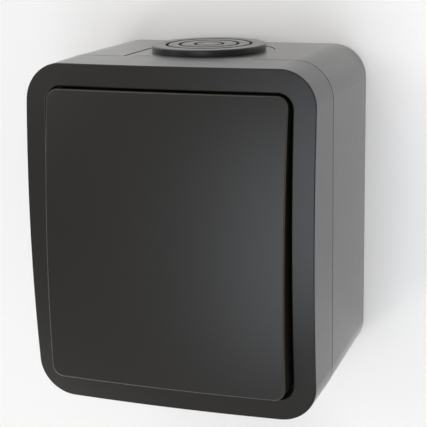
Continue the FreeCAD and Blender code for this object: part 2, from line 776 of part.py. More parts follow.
def rocker():
    """Return the large rocker cap, a crowned shell with ribs, a seat and two clips."""
    front = crown_depth + rocker_rise
    body = rounded_prism(rocker_half_x, rocker_half_z, rocker_corner, rocker_rear, front + over)
    body = body.common(crowned_block(front))
    rim = front_rim(body, rocker_half_x, rocker_half_z, rocker_corner, rocker_rear + rocker_edge_round)
    body = body.makeFillet(rocker_edge_round, rim)
    inner_x = rocker_half_x - rocker_side_wall
    inner_z = rocker_half_z - rocker_side_wall
    inner_corner = rocker_corner - rocker_side_wall
    hollow = rounded_prism(inner_x, inner_z, inner_corner, rocker_rear - over, front + over)
    body = body.cut(hollow.common(crowned_block(front - rocker_skin)))
    seat = block(-neck_half_x, neck_half_x, neck_front, front, -neck_half_z, neck_half_z)
    hook_rear, hook_front = hook_depths()
    clip_inner = neck_half_x + clip_gap
    clip_outer = clip_inner + clip_thickness
    pieces = [seat]
    for side in (-1, 1):
        near, far = sorted((side * clip_inner, side * clip_outer))
        pieces.append(block(near, far, hook_rear, front, -clip_half_z, clip_half_z))
        near, far = sorted((side * (neck_half_x - clip_hook), side * clip_outer))
        pieces.append(block(near, far, hook_rear, hook_front, -clip_half_z, clip_half_z))
        near, far = sorted((side * neck_half_x, side * clip_outer))
        pieces.append(block(near, far, neck_front + clip_end_gap, front, -clip_half_z, clip_half_z))
        pieces.append(block(side * rib_x - rib_thickness / 2, side * rib_x + rib_thickness / 2,
                            front - rocker_skin - rib_height, front, -inner_z - over, inner_z + over))
    reach = block(-inner_x - over, inner_x + over, hook_rear - over, front, -inner_z - over, inner_z + over)
    reach = reach.common(crowned_block(front - rocker_skin / 2))
    added = [piece.common(reach) for piece in pieces]
    return tilted(fused(body, *added))


def toggle_plunger():
    """Return the sprung pusher that rolls over the contact arm."""
    centre = rocker_pivot - plunger_centre_reach
    nose_end = centre + plunger_nose_length
    body_end = nose_end + plunger_body_length
    tip = Part.makeSphere(plunger_nose_radius, point(0, centre, 0))
    nose = depth_cylinder(0, 0, plunger_nose_radius, centre, nose_end)
    body = depth_cylinder(0, 0, bore_radius - plunger_clearance, nose_end, body_end)
    spigot = depth_cylinder(0, 0, plunger_spigot_radius, body_end, body_end + plunger_spigot_length)
    return tilted(fused(body, nose, tip, spigot))


def toggle_spring():
    """Return the coil spring between the plunger and the end of the carrier's bore."""
    seat = rocker_pivot - plunger_centre_reach + plunger_nose_length + plunger_body_length
    start = seat + spring_wire_radius
    end = rocker_pivot - bore_end - spring_wire_radius
    length = end - start
    helix = Part.makeHelix(spring_pitch, length, spring_radius)
    ring = Part.Circle(Vector(spring_radius, 0, 0), Vector(0, 1, 0), spring_wire_radius).toShape()
    coil = Part.Wire(helix.Edges).makePipeShell([Part.Wire([ring])], True, True)
    coil.rotate(Vector(0, 0, 0), Vector(1, 0, 0), 90)
    coil.translate(point(0, start, 0))
    return tilted(coil)


def contact_arm():
    """Return the copper arm that rocks on the cradle of the common terminal."""
    back = arm_pivot + arm_pivot_to_back
    strip = block(-arm_half_width, arm_half_width, back, arm_front, -arm_half_length, arm_half_length)
    pivot = level_cylinder(arm_pivot, 0, arm_pivot_radius, -arm_half_width, arm_half_width)
    return arm_turned(fused(strip, pivot), arm_tilt)


def moving_contacts():
    """Return the two silver contacts on the arm."""
    back = arm_pivot + arm_pivot_to_back
    tips = [depth_cylinder(0, side * contact_reach, contact_radius, back - contact_thickness, back)
            for side in (-1, 1)]
    return arm_turned(Part.makeCompound(tips), arm_tilt)


def fixed_contact_depth():
    """Return the depth of the fixed contacts' faces, in the frame of the level arm."""
    return arm_pivot + arm_pivot_to_back - contact_thickness - contact_closed_gap


def fixed_contacts():
    """Return the two silver contacts on the switched terminals, square to the closed arm."""
    face = fixed_contact_depth()
    tips = []
    for side in (-1, 1):
        tip = depth_cylinder(0, side * contact_reach, contact_radius, face - contact_thickness, face)
        tips.append(arm_turned(tip, -side * arm_tilt))
    return Part.makeCompound(tips)


def terminal_strip(side, z, inner_x):
    """Return the flat strip of a terminal, with the tapped hole for its screw."""
    near, far = sorted((inner_x, side * strip_outer_x))
    strip = block(near, far, strip_rear, strip_front, z - strip_half_width, z + strip_half_width)
    hole = depth_cylinder(side * terminal_screw_x, z, terminal_screw_radius + terminal_hole_clearance,
                          strip_rear - over, strip_front + over)
    wire = depth_cylinder(side * wire_hole_x, z, wire_hole, strip_rear - over, strip_front + over)
    return strip.cut(hole).cut(wire)


def common_terminal():
    """Return the common terminal with the round cradle for the arm."""
    strip = terminal_strip(-1, 0.0, arm_half_width)
    upright = block(-arm_half_width, arm_half_width, strip_rear, arm_pivot - cradle_top_drop,
                    -cradle_half_z, cradle_half_z)
    groove = level_cylinder(arm_pivot, 0, arm_pivot_radius + arm_pivot_clearance,
                            -arm_half_width - over, arm_half_width + over)
    return fused(strip, upright).cut(groove)


def switched_terminal(side_z):
    """Return a switched terminal with the sloping pad under its contact."""
    strip = terminal_strip(1, side_z * pocket_centre_z, -contact_radius - contact_pad_margin)
    half = contact_radius + contact_pad_margin
    face = fixed_contact_depth() - contact_thickness
    pad = block(-half, half, strip_rear, face, side_z * contact_reach - half, side_z * contact_reach + half)
    pad = arm_turned(pad, -side_z * arm_tilt)
    above = block(-half, half, strip_rear, face + half, side_z * contact_reach - 2 * half,
                  side_z * contact_reach + 2 * half)
    return fused(strip, pad.common(above))


def clamp_plates():
    """Return the three square plates that press the wires."""
    rear = strip_front + wire_gap
    plates = []
    front = rear + clamp_thickness
    for side, z in terminal_places():
        x = side * terminal_screw_x
        plate = block(x - clamp_half, x + clamp_half, rear, front, z - clamp_half, z + clamp_half)
        hole = depth_cylinder(x, z, terminal_screw_radius + terminal_hole_clearance, rear - over,
                              front + over)
        plates.append(plate.cut(hole))
    return Part.makeCompound(plates)


def terminal_screws():
    """Return the three screws of the terminals."""
    head_depth = strip_front + wire_gap + clamp_thickness
    screws = []
    for side, z in terminal_places():
        screws.append(headed_screw(side * terminal_screw_x, z, terminal_screw_radius, strip_rear, head_depth,
                                   terminal_head_radius, terminal_head_height))
    return Part.makeCompound(screws)


def earth_terminal():
    """Return the brass earth block with two wire holes and two screw holes."""
    rear = back_wall + earth_pedestal
    front = rear + earth_depth
    low = earth_centre_z - earth_height / 2
    high = earth_centre_z + earth_height / 2
    body = block(-earth_length / 2, earth_length / 2, rear, front, low, high)
    for x in (-earth_hole_x, earth_hole_x):
        body = body.cut(upright_cylinder(x, rear + earth_depth / 2, earth_wire_hole, low - over, high + over))
        body = body.cut(depth_cylinder(x, earth_centre_z, earth_screw_radius + earth_screw_clearance,
                                       rear + earth_depth / 2, front + over))
    return body


def earth_screws():
    """Return the two clamping screws of the earth block."""
    front = back_wall + earth_pedestal + earth_depth
    end = front - earth_depth / 2
    screws = []
    for x in (-earth_hole_x, earth_hole_x):
        screws.append(headed_screw(x, earth_centre_z, earth_screw_radius, end, front, earth_head_radius,
                                   earth_head_height))
    return Part.makeCompound(screws)


nodes = {
    "rear_box": rear_box(),
    "entry_plate": entry_plate(),
    "entry_grommet": entry_grommet(),
    "housing_seal": housing_seal(),
    "front_cover": front_cover(),
    "cover_screws": cover_screws(),
    "screw_seals": screw_seals(),
    "insert_seal": insert_seal(),
    "switch_base": switch_base(),
    "switch_cap": switch_cap(),
    "cap_rivets": cap_rivets(),
    "insert_screws": insert_screws(),
    "rocker_boot": rocker_boot(),
    "rocker_carrier": rocker_carrier(),
    "rocker": rocker(),
    "toggle_plunger": toggle_plunger(),
    "toggle_spring": toggle_spring(),
    "contact_arm": contact_arm(),
    "moving_contacts": moving_contacts(),
    "fixed_contacts": fixed_contacts(),
    "common_terminal": common_terminal(),
    "lower_terminal": switched_terminal(-1),
    "upper_terminal": switched_terminal(1),
    "clamp_plates": clamp_plates(),
    "terminal_screws": terminal_screws(),
    "earth_terminal": earth_terminal(),
    "earth_screws": earth_screws(),
}

os.makedirs("parts", exist_ok=True)
for name, shape in nodes.items():
    shape.exportStep("parts/" + name + ".step")
    print(name, "solids", len(shape.Solids), "valid", shape.isValid(), "volume", round(shape.Volume, 1))
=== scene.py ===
"""Looks of a surface-mounted weatherproof rocker switch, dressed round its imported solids.

Lengths are metres in the frame of the solids. The origin is the middle of the back face, +X is
right, +Z is up and the front faces -Y, so a depth d from the wall lies at Y = -d. The classes of
the new pieces hold their sizes in millimetres and their angles in degrees.
"""

import logging
import math
from dataclasses import dataclass, field
from enum import Enum

import bpy
import numpy as np
from mathutils import Matrix, Vector


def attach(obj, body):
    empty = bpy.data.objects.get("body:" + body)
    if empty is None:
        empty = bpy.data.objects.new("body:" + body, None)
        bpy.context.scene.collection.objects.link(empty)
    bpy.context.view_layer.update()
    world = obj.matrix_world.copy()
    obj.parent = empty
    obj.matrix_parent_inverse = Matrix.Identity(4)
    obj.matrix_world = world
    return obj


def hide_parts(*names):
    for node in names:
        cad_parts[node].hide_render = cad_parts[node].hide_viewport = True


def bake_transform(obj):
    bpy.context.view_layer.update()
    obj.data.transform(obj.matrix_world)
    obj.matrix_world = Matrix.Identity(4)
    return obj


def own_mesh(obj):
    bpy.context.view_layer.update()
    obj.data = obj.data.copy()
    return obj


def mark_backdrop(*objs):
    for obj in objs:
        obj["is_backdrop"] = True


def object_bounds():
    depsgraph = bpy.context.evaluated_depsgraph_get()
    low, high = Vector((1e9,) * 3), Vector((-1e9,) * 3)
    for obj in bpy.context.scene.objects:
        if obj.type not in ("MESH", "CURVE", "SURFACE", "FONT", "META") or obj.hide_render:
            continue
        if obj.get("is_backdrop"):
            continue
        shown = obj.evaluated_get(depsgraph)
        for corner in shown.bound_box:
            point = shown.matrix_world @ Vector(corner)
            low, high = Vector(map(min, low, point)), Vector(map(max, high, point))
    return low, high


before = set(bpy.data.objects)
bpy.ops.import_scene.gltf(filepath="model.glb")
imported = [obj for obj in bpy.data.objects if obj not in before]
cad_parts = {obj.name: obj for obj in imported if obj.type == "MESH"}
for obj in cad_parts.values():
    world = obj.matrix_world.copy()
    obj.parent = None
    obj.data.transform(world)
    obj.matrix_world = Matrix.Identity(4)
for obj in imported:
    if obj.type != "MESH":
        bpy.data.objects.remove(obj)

MM = 0.001  # metres in a millimetre
TOGETHER = 1e-8  # grid, in metres, on which places that fall together are one
QUARTER = math.pi / 2
PACKED = "packed_"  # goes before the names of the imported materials

log = logging.getLogger("switch")

Socket = bpy.types.NodeSocket
Colour = tuple[float, float, float]
WHITE: Colour = (1.0, 1.0, 1.0)


class Recipe:
    """The node tree of a material or a world, with short calls that add nodes and join them."""

    def __init__(self, owner: bpy.types.Material | bpy.types.World) -> None:
        """Start from an empty tree.

        Args:
            owner: the material or world.
        """
        owner.use_nodes = True
        self.owner = owner
        self.tree = owner.node_tree
        self.tree.nodes.clear()

    def node(self, kind: str, settings: dict[str, object] | None = None,
             inputs: dict[str | int, object] | None = None) -> bpy.types.Node:
        """Add a node.

        Args:
            kind: Blender's identifier of the node.
            settings: properties of the node.
            inputs: constants or sockets for its inputs, by name or number.

        Returns:
            The new node.
        """
        made = self.tree.nodes.new(kind)
        for key, value in (settings or {}).items():
            setattr(made, key, value)
        for key, value in (inputs or {}).items():
            if isinstance(value, Socket):
                self.tree.links.new(value, made.inputs[key])
            else:
                made.inputs[key].default_value = value
        return made

    def place(self) -> Socket:
        """Return the place of a point on the piece, in metres."""
        return self.node("ShaderNodeTexCoord").outputs["Object"]

    def noise(self, size: float, detail: float = 2.0, roughness: float = 0.5) -> Socket:
        """Return the value of a noise whose lumps have about this size in metres."""
        made = self.node("ShaderNodeTexNoise", {"noise_dimensions": "3D"},
                         {"Vector": self.place(), "Scale": 1.0 / size, "Detail": detail,
                          "Roughness": roughness})
        return made.outputs["Fac"]

    def cells(self, size: float) -> Socket:
        """Return the distance to the next cell centre, for cells of about this size in metres."""
        made = self.node("ShaderNodeTexVoronoi", {"feature": "F1"},
                         {"Vector": self.place(), "Scale": 1.0 / size})
        return made.outputs["Distance"]

    def spread(self, value: Socket, low: float, high: float,
               start: float = 0.3, end: float = 0.7) -> Socket:
        """Return a value carried from the range start to end over to the range low to high."""
        made = self.node("ShaderNodeMapRange", {"clamp": True},
                         {0: value, 1: start, 2: end, 3: low, 4: high})
        return made.outputs["Result"]

    def maths(self, operation: str, first: Socket | float, second: Socket | float = 0.0) -> Socket:
        """Return the result of one sum, product or other operation of two values."""
        return self.node("ShaderNodeMath", {"operation": operation},
                         {0: first, 1: second}).outputs[0]

    def shade(self, colour: Colour, factor: Socket) -> Socket:
        """Return a colour made lighter or darker by a factor."""
        made = self.node("ShaderNodeVectorMath", {"operation": "SCALE"},
                         {0: colour, "Scale": factor})
        return made.outputs["Vector"]

    def blend(self, factor: Socket, first: Colour, second: Colour) -> Socket:
        """Return the mix of two colours by a factor."""
        return self.node("ShaderNodeMix", {"data_type": "RGBA"},
                         {0: factor, 6: (*first, 1.0), 7: (*second, 1.0)}).outputs[2]

    def bump(self, height: Socket, depth: float, before: Socket | None = None) -> Socket:
        """Raise a surface by a height between 0 and 1 times a depth.

        Args:
            height: the height.
            depth: the depth in metres.
            before: normal of a surface that is raised already.

        Returns:
            The normal of the raised surface.
        """
        inputs = {"Height": height, "Distance": depth, "Strength": 1.0}
        if before is not None:
            inputs["Normal"] = before
        return self.node("ShaderNodeBump", None, inputs).outputs["Normal"]

    def edges(self, radius: float, low: float = 0.02, high: float = 0.25) -> Socket:
        """Find edges by how far a rounding of them would turn the normal.

        Args:
            radius: radius of the rounding in metres.
            low: turn, as one less its cosine, up to which the mask is 0.
            high: turn from which it is 1.

        Returns:
            A mask that is 1 on edges.
        """
        soft = self.node("ShaderNodeBevel", {"samples": 6}, {"Radius": radius}).outputs["Normal"]
        plain = self.node("ShaderNodeNewGeometry").outputs["Normal"]
        turn = self.node("ShaderNodeVectorMath", {"operation": "DOT_PRODUCT"},
                         {0: soft, 1: plain}).outputs["Value"]
        return self.spread(self.maths("SUBTRACT", 1.0, turn), 0.0, 1.0, low, high)

    def rounds(self, low: float = 0.35, high: float = 0.9) -> Socket:
        """Find roundings between the front and the sides.

        The measure is 4f(1 - f), with f the square of the normal's part along the depth: 0 on
        faces that look to the front or to a side, and 1 where a face looks halfway between.

        Args:
            low: measure up to which the mask is 0.
            high: measure from which it is 1.

        Returns:
            A mask that is 1 on roundings.
        """
        normal = self.node("ShaderNodeTexCoord").outputs["Normal"]
        depth = self.node("ShaderNodeSeparateXYZ", None, {0: normal}).outputs["Y"]
        front = self.maths("MULTIPLY", depth, depth)
        half = self.maths("MULTIPLY", front, self.maths("SUBTRACT", 1.0, front))
        return self.spread(self.maths("MULTIPLY", half, 4.0), 0.0, 1.0, low, high)

    def close(self, surface: Socket) -> bpy.types.Material:
        """Join the surface to the output, and return the finished material."""
        self.node("ShaderNodeOutputMaterial", None, {"Surface": surface})
        return self.owner

    def finish(self, inputs: dict[str, object]) -> bpy.types.Material:
        """Close the tree with one surface shader of these inputs, and return the material."""
        return self.close(self.node("ShaderNodeBsdfPrincipled", None, inputs).outputs["BSDF"])


@dataclass(frozen=True)
class MouldedPlastic:
    """Matt moulded plastic with the fine spark-eroded grain of its mould.

    Sizes and depths are metres, but those of the pits, which are shares of the grain's.
    """

    colour: Colour
    grain: float = 0.00024
    grain_depth: float = 0.000008
    pit_size: float = 1.7
    pit_depth: float = 0.7
    flow_size: float = 0.018
    mottle: float = 0.03
    speckle: float = 0.12
    rough: float = 0.45
    rough_spread: float = 0.015
    rough_size: float = 0.006
    edge_radius: float = 0.0005
    # lightening of edges in the colour: partly wear, partly painted highlight
    edge_wear_and_highlight: float = 0.25
    # painted highlight on the roundings between front and sides
    round_painted_highlight: float = 0.1
    ior: float = 1.25
    coat_ior: float = 1.25
    coat_rough: float = 0.28

    def material(self, name: str) -> bpy.types.Material:
        """Build the finish.

        The tone is 1 give or take the flow marks and the specks, plus a lightening of the edges
        that is partly wear and partly painted highlight, and a painted highlight on the roundings.
        The edges are a little smoother than the faces.

        Args:
            name: name of the material.

        Returns:
            The material.
        """
        r = Recipe(bpy.data.materials.new(name))
        specks = r.noise(self.grain, roughness=0.6)
        edge = r.edges(self.edge_radius)
        flow = r.spread(r.noise(self.flow_size, detail=3.0), 1.0 - self.mottle, 1.0 + self.mottle)
        tone = r.maths("ADD", flow, r.spread(specks, -self.speckle, self.speckle))
        # edges lightened in colour: partly wear, partly painted highlight
        tone = r.maths("ADD", tone, r.maths("MULTIPLY", edge, self.edge_wear_and_highlight))
        # painted highlight: roundings between front and sides lightened in colour
        tone = r.maths("ADD", tone, r.maths("MULTIPLY", r.rounds(), self.round_painted_highlight))
        rough = r.spread(r.noise(self.rough_size), self.rough - self.rough_spread,
                         self.rough + self.rough_spread)
        rough = r.maths("ADD", rough, r.maths("MULTIPLY", edge, -self.rough_spread))
        fine = r.bump(specks, self.grain_depth)
        pits = r.bump(r.cells(self.grain * self.pit_size), self.grain_depth * self.pit_depth, fine)
        return r.finish({"Base Color": r.shade(self.colour, tone), "Roughness": rough,
                         "IOR": self.ior, "Coat Weight": 1.0, "Coat Roughness": self.coat_rough,
                         "Coat IOR": self.coat_ior, "Normal": pits})


@dataclass(frozen=True)
class Rubber:
    """Moulded rubber, satin, with a faint bloom and flow marks. Sizes and depths are metres."""

    colour: Colour
    bloom: float = 0.2
    bloom_size: float = 0.004
    bloom_gain: float = 2.2
    bloom_add: float = 0.02
    rough: float = 0.55
    rough_range: tuple[float, float] = (-0.06, 0.08)
    rough_size: float = 0.003
    grain: float = 0.00035
    grain_depth: float = 0.000006
    ior: float = 1.25
    coat_ior: float = 1.25
    coat_rough: float = 0.3

    def material(self, name: str) -> bpy.types.Material:
        """Build the finish.

        Args:
            name: name of the material.

        Returns:
            The material.
        """
        r = Recipe(bpy.data.materials.new(name))
        dust = r.spread(r.noise(self.bloom_size, detail=4.0, roughness=0.6), 0.0, self.bloom)
        dusty = tuple(min(1.0, part * self.bloom_gain + self.bloom_add) for part in self.colour)
        rough = r.spread(r.noise(self.rough_size), *(self.rough + off for off in self.rough_range))
        grain = r.bump(r.noise(self.grain, detail=3.0, roughness=0.6), self.grain_depth)
        return r.finish({"Base Color": r.blend(dust, self.colour, dusty), "Roughness": rough,
                         "IOR": self.ior, "Coat Weight": 1.0, "Coat Roughness": self.coat_rough,
                         "Coat IOR": self.coat_ior, "Normal": grain})


@dataclass(frozen=True)
class Metal:
    """Worked metal with fine drawing lines along one axis and a breath of tarnish.

    Sizes and depths are metres. The lines are a noise that is stretched along the axis whose
    scale is small.
    """

    colour: Colour
    lines: float = 0.00012
    line_depth: float = 0.000002
    along: tuple[float, float, float] = (0.05, 1.0, 1.0)
    tarnish: float = 0.15
    tarnish_size: float = 0.0025
    rough: float = 0.3
    rough_range: tuple[float, float] = (-0.05, 0.07)
    smudge: float = 0.08
    smudge_size: float = 0.0015

    def material(self, name: str) -> bpy.types.Material:
        """Build the finish.

        Args:
            name: name of the material.

        Returns:
            The material.
        """
        r = Recipe(bpy.data.materials.new(name))
        stretched = r.node("ShaderNodeMapping", {"vector_type": "POINT"},
                           {"Vector": r.place(), "Scale": self.along}).outputs["Vector"]
        lines = r.node("ShaderNodeTexNoise", None, {"Vector": stretched, "Scale": 1.0 / self.lines,
                                                    "Detail": 2.0}).outputs["Fac"]
        stain = r.spread(r.noise(self.tarnish_size, detail=3.0), 1.0 - self.tarnish, 1.0)
        drawn = r.spread(lines, *(self.rough + off for off in self.rough_range))
        rough = r.maths("ADD", drawn, r.spread(r.noise(self.smudge_size), 0.0, self.smudge))
        return r.finish({"Base Color": r.shade(self.colour, stain), "Metallic": 1.0,
                         "Roughness": rough, "Normal": r.bump(lines, self.line_depth)})


Finish = MouldedPlastic | Rubber | Metal

NEAR_BLACK: Colour = (0.0099, 0.0082, 0.0059)
SOOT: Colour = (0.012, 0.012, 0.012)

FINISHES: dict[str, Finish] = {
    "housing_plastic": MouldedPlastic(NEAR_BLACK, edge_wear_and_highlight=0.3),
    # the rocker's edges and roundings carry a strong painted highlight
    "rocker_plastic": MouldedPlastic(NEAR_BLACK, edge_wear_and_highlight=1.6, round_painted_highlight=4.5),
    "entry_rubber": Rubber(SOOT, coat_ior=1.33),
    "seal_rubber": Rubber(SOOT, bloom=0.1),
    "insert_plastic": MouldedPlastic((0.55, 0.56, 0.56), speckle=0.03, edge_wear_and_highlight=0.05),
    "carrier_plastic": MouldedPlastic((0.1, 0.1, 0.11), rough=0.42),
    "plunger_plastic": MouldedPlastic((0.8, 0.78, 0.72), speckle=0.02, edge_wear_and_highlight=0.03, rough=0.35),
    "zinc_steel": Metal((0.62, 0.63, 0.65), rough=0.28),
    "spring_steel": Metal((0.55, 0.55, 0.56), rough=0.25),
    "brass": Metal((0.72, 0.55, 0.25)),
    "copper": Metal((0.75, 0.4, 0.26)),
    "silver": Metal((0.85, 0.84, 0.81), rough=0.22, tarnish=0.08),
}


class Palette:
    """The finishes as materials, one for each material slot of the record."""

    def __init__(self, finishes: dict[str, Finish]) -> None:
        """Build every finish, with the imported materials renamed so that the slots' names are free.

        Args:
            finishes: the finish of each slot.
        """
        for old in list(bpy.data.materials):
            old.name = PACKED + old.name
        self.materials = {slot: finish.material(slot) for slot, finish in finishes.items()}

    def dress_node(self, node: bpy.types.Object) -> str:
        """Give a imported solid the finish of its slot.

        Args:
            node: the solid.

        Returns:
            The name of its slot.
        """
        slot = node.material_slots[0].material.name.removeprefix(PACKED).split(".")[0]
        for place in node.material_slots:
            place.material = self.materials[slot]
        return slot

    def dress_piece(self, piece: bpy.types.Object, slot: str) -> bpy.types.Object:
        """Args:
            piece: the piece.
            slot: the name of the slot.

        Returns:
            The piece.
        """
        piece.data.materials.append(self.materials[slot])
        return piece


def put(name: str, data: bpy.types.ID) -> bpy.types.Object:
    """Make an object of a mesh, a lamp or a camera, and put it in the scene.

    Args:
        name: name of the object.
        data: what it shows.

    Returns:
        The object.
    """
    made = bpy.data.objects.new(name, data)
    bpy.context.scene.collection.objects.link(made)
    return made


def smooth_step(value: np.ndarray) -> np.ndarray:
    """Return s^2 (3 - 2s), with s the value held between 0 and 1."""
    share = np.clip(value, 0, 1)
    return share * share * (3 - 2 * share)


@dataclass
class Outline:
    """A rectangle with round corners, sampled with the same number of places at every size."""

    arc_steps: int
    side_steps: int

    def places(self, half_x: np.ndarray, half_z: np.ndarray,
               corner: np.ndarray) -> tuple[np.ndarray, np.ndarray]:
        """Sample outlines of several sizes.

        A place is its corner's centre plus the corner radius times a unit direction. Along an arc
        the centre stays and the direction turns; along a side the direction stays and the centre
        moves from one corner to the next.

        Args:
            half_x: half widths, one for each outline.
            half_z: half heights.
            corner: corner radii.

        Returns:
            Arrays of x and z with a row for each outline.
        """
        signs = np.array([(1, 1), (-1, 1), (-1, -1), (1, -1)], float)
        turn = np.linspace(0, 1, self.arc_steps + 1)
        slide = np.linspace(0, 1, self.side_steps + 1)[1:-1, None]
        arcs = [np.repeat(signs[k:k + 1], len(turn), 0) for k in range(4)]
        sides = [signs[k] * (1 - slide) + signs[(k + 1) % 4] * slide for k in range(4)]
        centres = np.vstack([part for pair in zip(arcs, sides) for part in pair])
        still = np.ones(len(slide))
        quarters = np.concatenate([part for k in range(4) for part in (k + turn, k + still)])
        angles = quarters * QUARTER
        half_x, half_z, corner = (np.atleast_1d(size).astype(float)[:, None]
                                  for size in (half_x, half_z, corner))
        x = centres[:, 0] * (half_x - corner) + corner * np.cos(angles)
        z = centres[:, 1] * (half_z - corner) + corner * np.sin(angles)
        return x, z


class Ends(Enum):
    """How the first and last rows of a grid are closed."""

    OPEN = "open"
    JOINED = "joined"
    POLES = "poles"


def grid_mesh(name: str, grid: np.ndarray, ends: Ends, sharp: float = 32.0) -> bpy.types.Object:
    """Make an object from a grid of places whose rows are closed loops.

    Face i, j joins places j and j + 1 of rows i and i + 1. Places that fall together count as one,
    as do all places of the first and of the last row if these are poles.

    Args:
        name: name of the object.
        grid: places with the shape rows, columns, 3.
        ends: how the first and last rows are closed.
        sharp: angle in degrees above which an edge is sharp.

    Returns:
        The object, with faces that point outwards.
    """
    rows, columns = grid.shape[:2]
    index = np.arange(rows * columns).reshape(rows, columns)
    places = grid.reshape(-1, 3)
    if ends is Ends.POLES:
        index[0] = index[0, 0]
        index[-1] = index[-1, 0]
    if ends is Ends.JOINED:
        index = np.vstack([index, index[:1]])
    after = np.roll(index, -1, axis=1)
    quads = np.stack([index[:-1], after[:-1], after[1:], index[1:]], axis=-1).reshape(-1, 4)
    a, b, c, d = places[quads].transpose(1, 0, 2)
    volume = np.sum(a * np.cross(b, c)) + np.sum(a * np.cross(c, d))
    if volume < 0:
        quads = quads[:, ::-1]
    shared, merged = np.unique(np.round(places / TOGETHER), axis=0, return_inverse=True)
    used, flat = np.unique(merged.ravel()[quads], return_inverse=True)
    distinct = [tuple(dict.fromkeys(face)) for face in flat.reshape(-1, 4).tolist()]
    faces = [face for face in distinct if len(face) > 2]
    mesh = bpy.data.meshes.new(name)
    mesh.from_pydata((shared[used] * TOGETHER).tolist(), [], faces)
    mesh.validate()
    mesh.shade_smooth()
    mesh.set_sharp_from_angle(angle=math.radians(sharp))
    return put(name, mesh)


